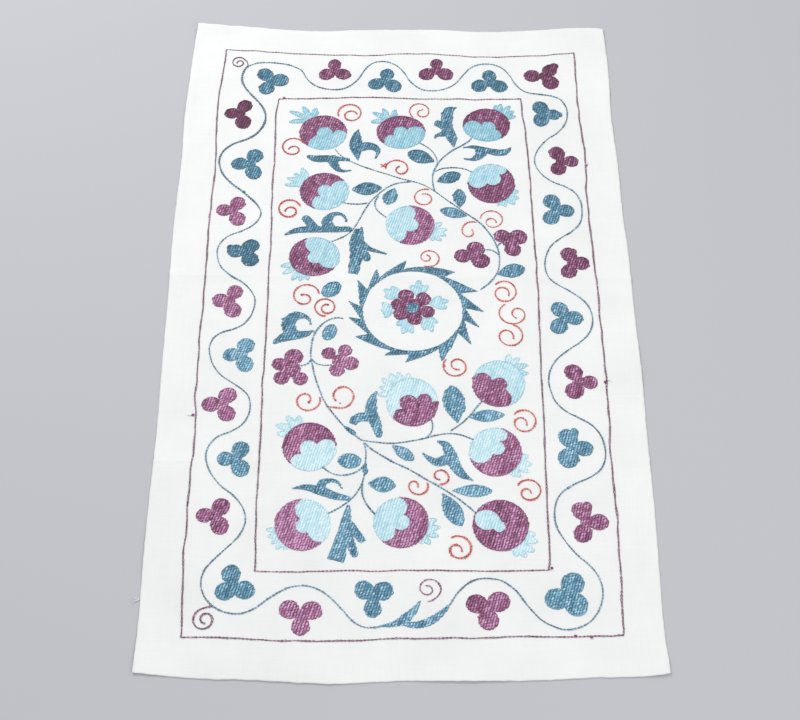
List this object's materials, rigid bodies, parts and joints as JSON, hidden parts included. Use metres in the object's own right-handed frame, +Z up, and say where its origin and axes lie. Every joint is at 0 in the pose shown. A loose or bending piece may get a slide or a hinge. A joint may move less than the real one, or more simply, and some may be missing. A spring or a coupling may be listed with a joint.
{
  "type": "suzani embroidered textile",
  "caption": "Small rectangular cotton suzani panel with silk embroidery, lying flat and face up, for a table, wall or bench.",
  "frame": {"origin": "middle of the panel's bounding box, on the surface that it lies on", "axes": "+X across the panel to the right as seen from its foot, +Y along its length, +Z up out of the embroidered face"},
  "size_m": [0.5064, 0.837, 0.0034],
  "materials": {
    "embroidered_cotton": "matt plain-woven cotton with silk embroidery"
  },
  "bodies": {
    "root": {"cloth_panel": "embroidered_cotton"}
  },
  "joints": []
}
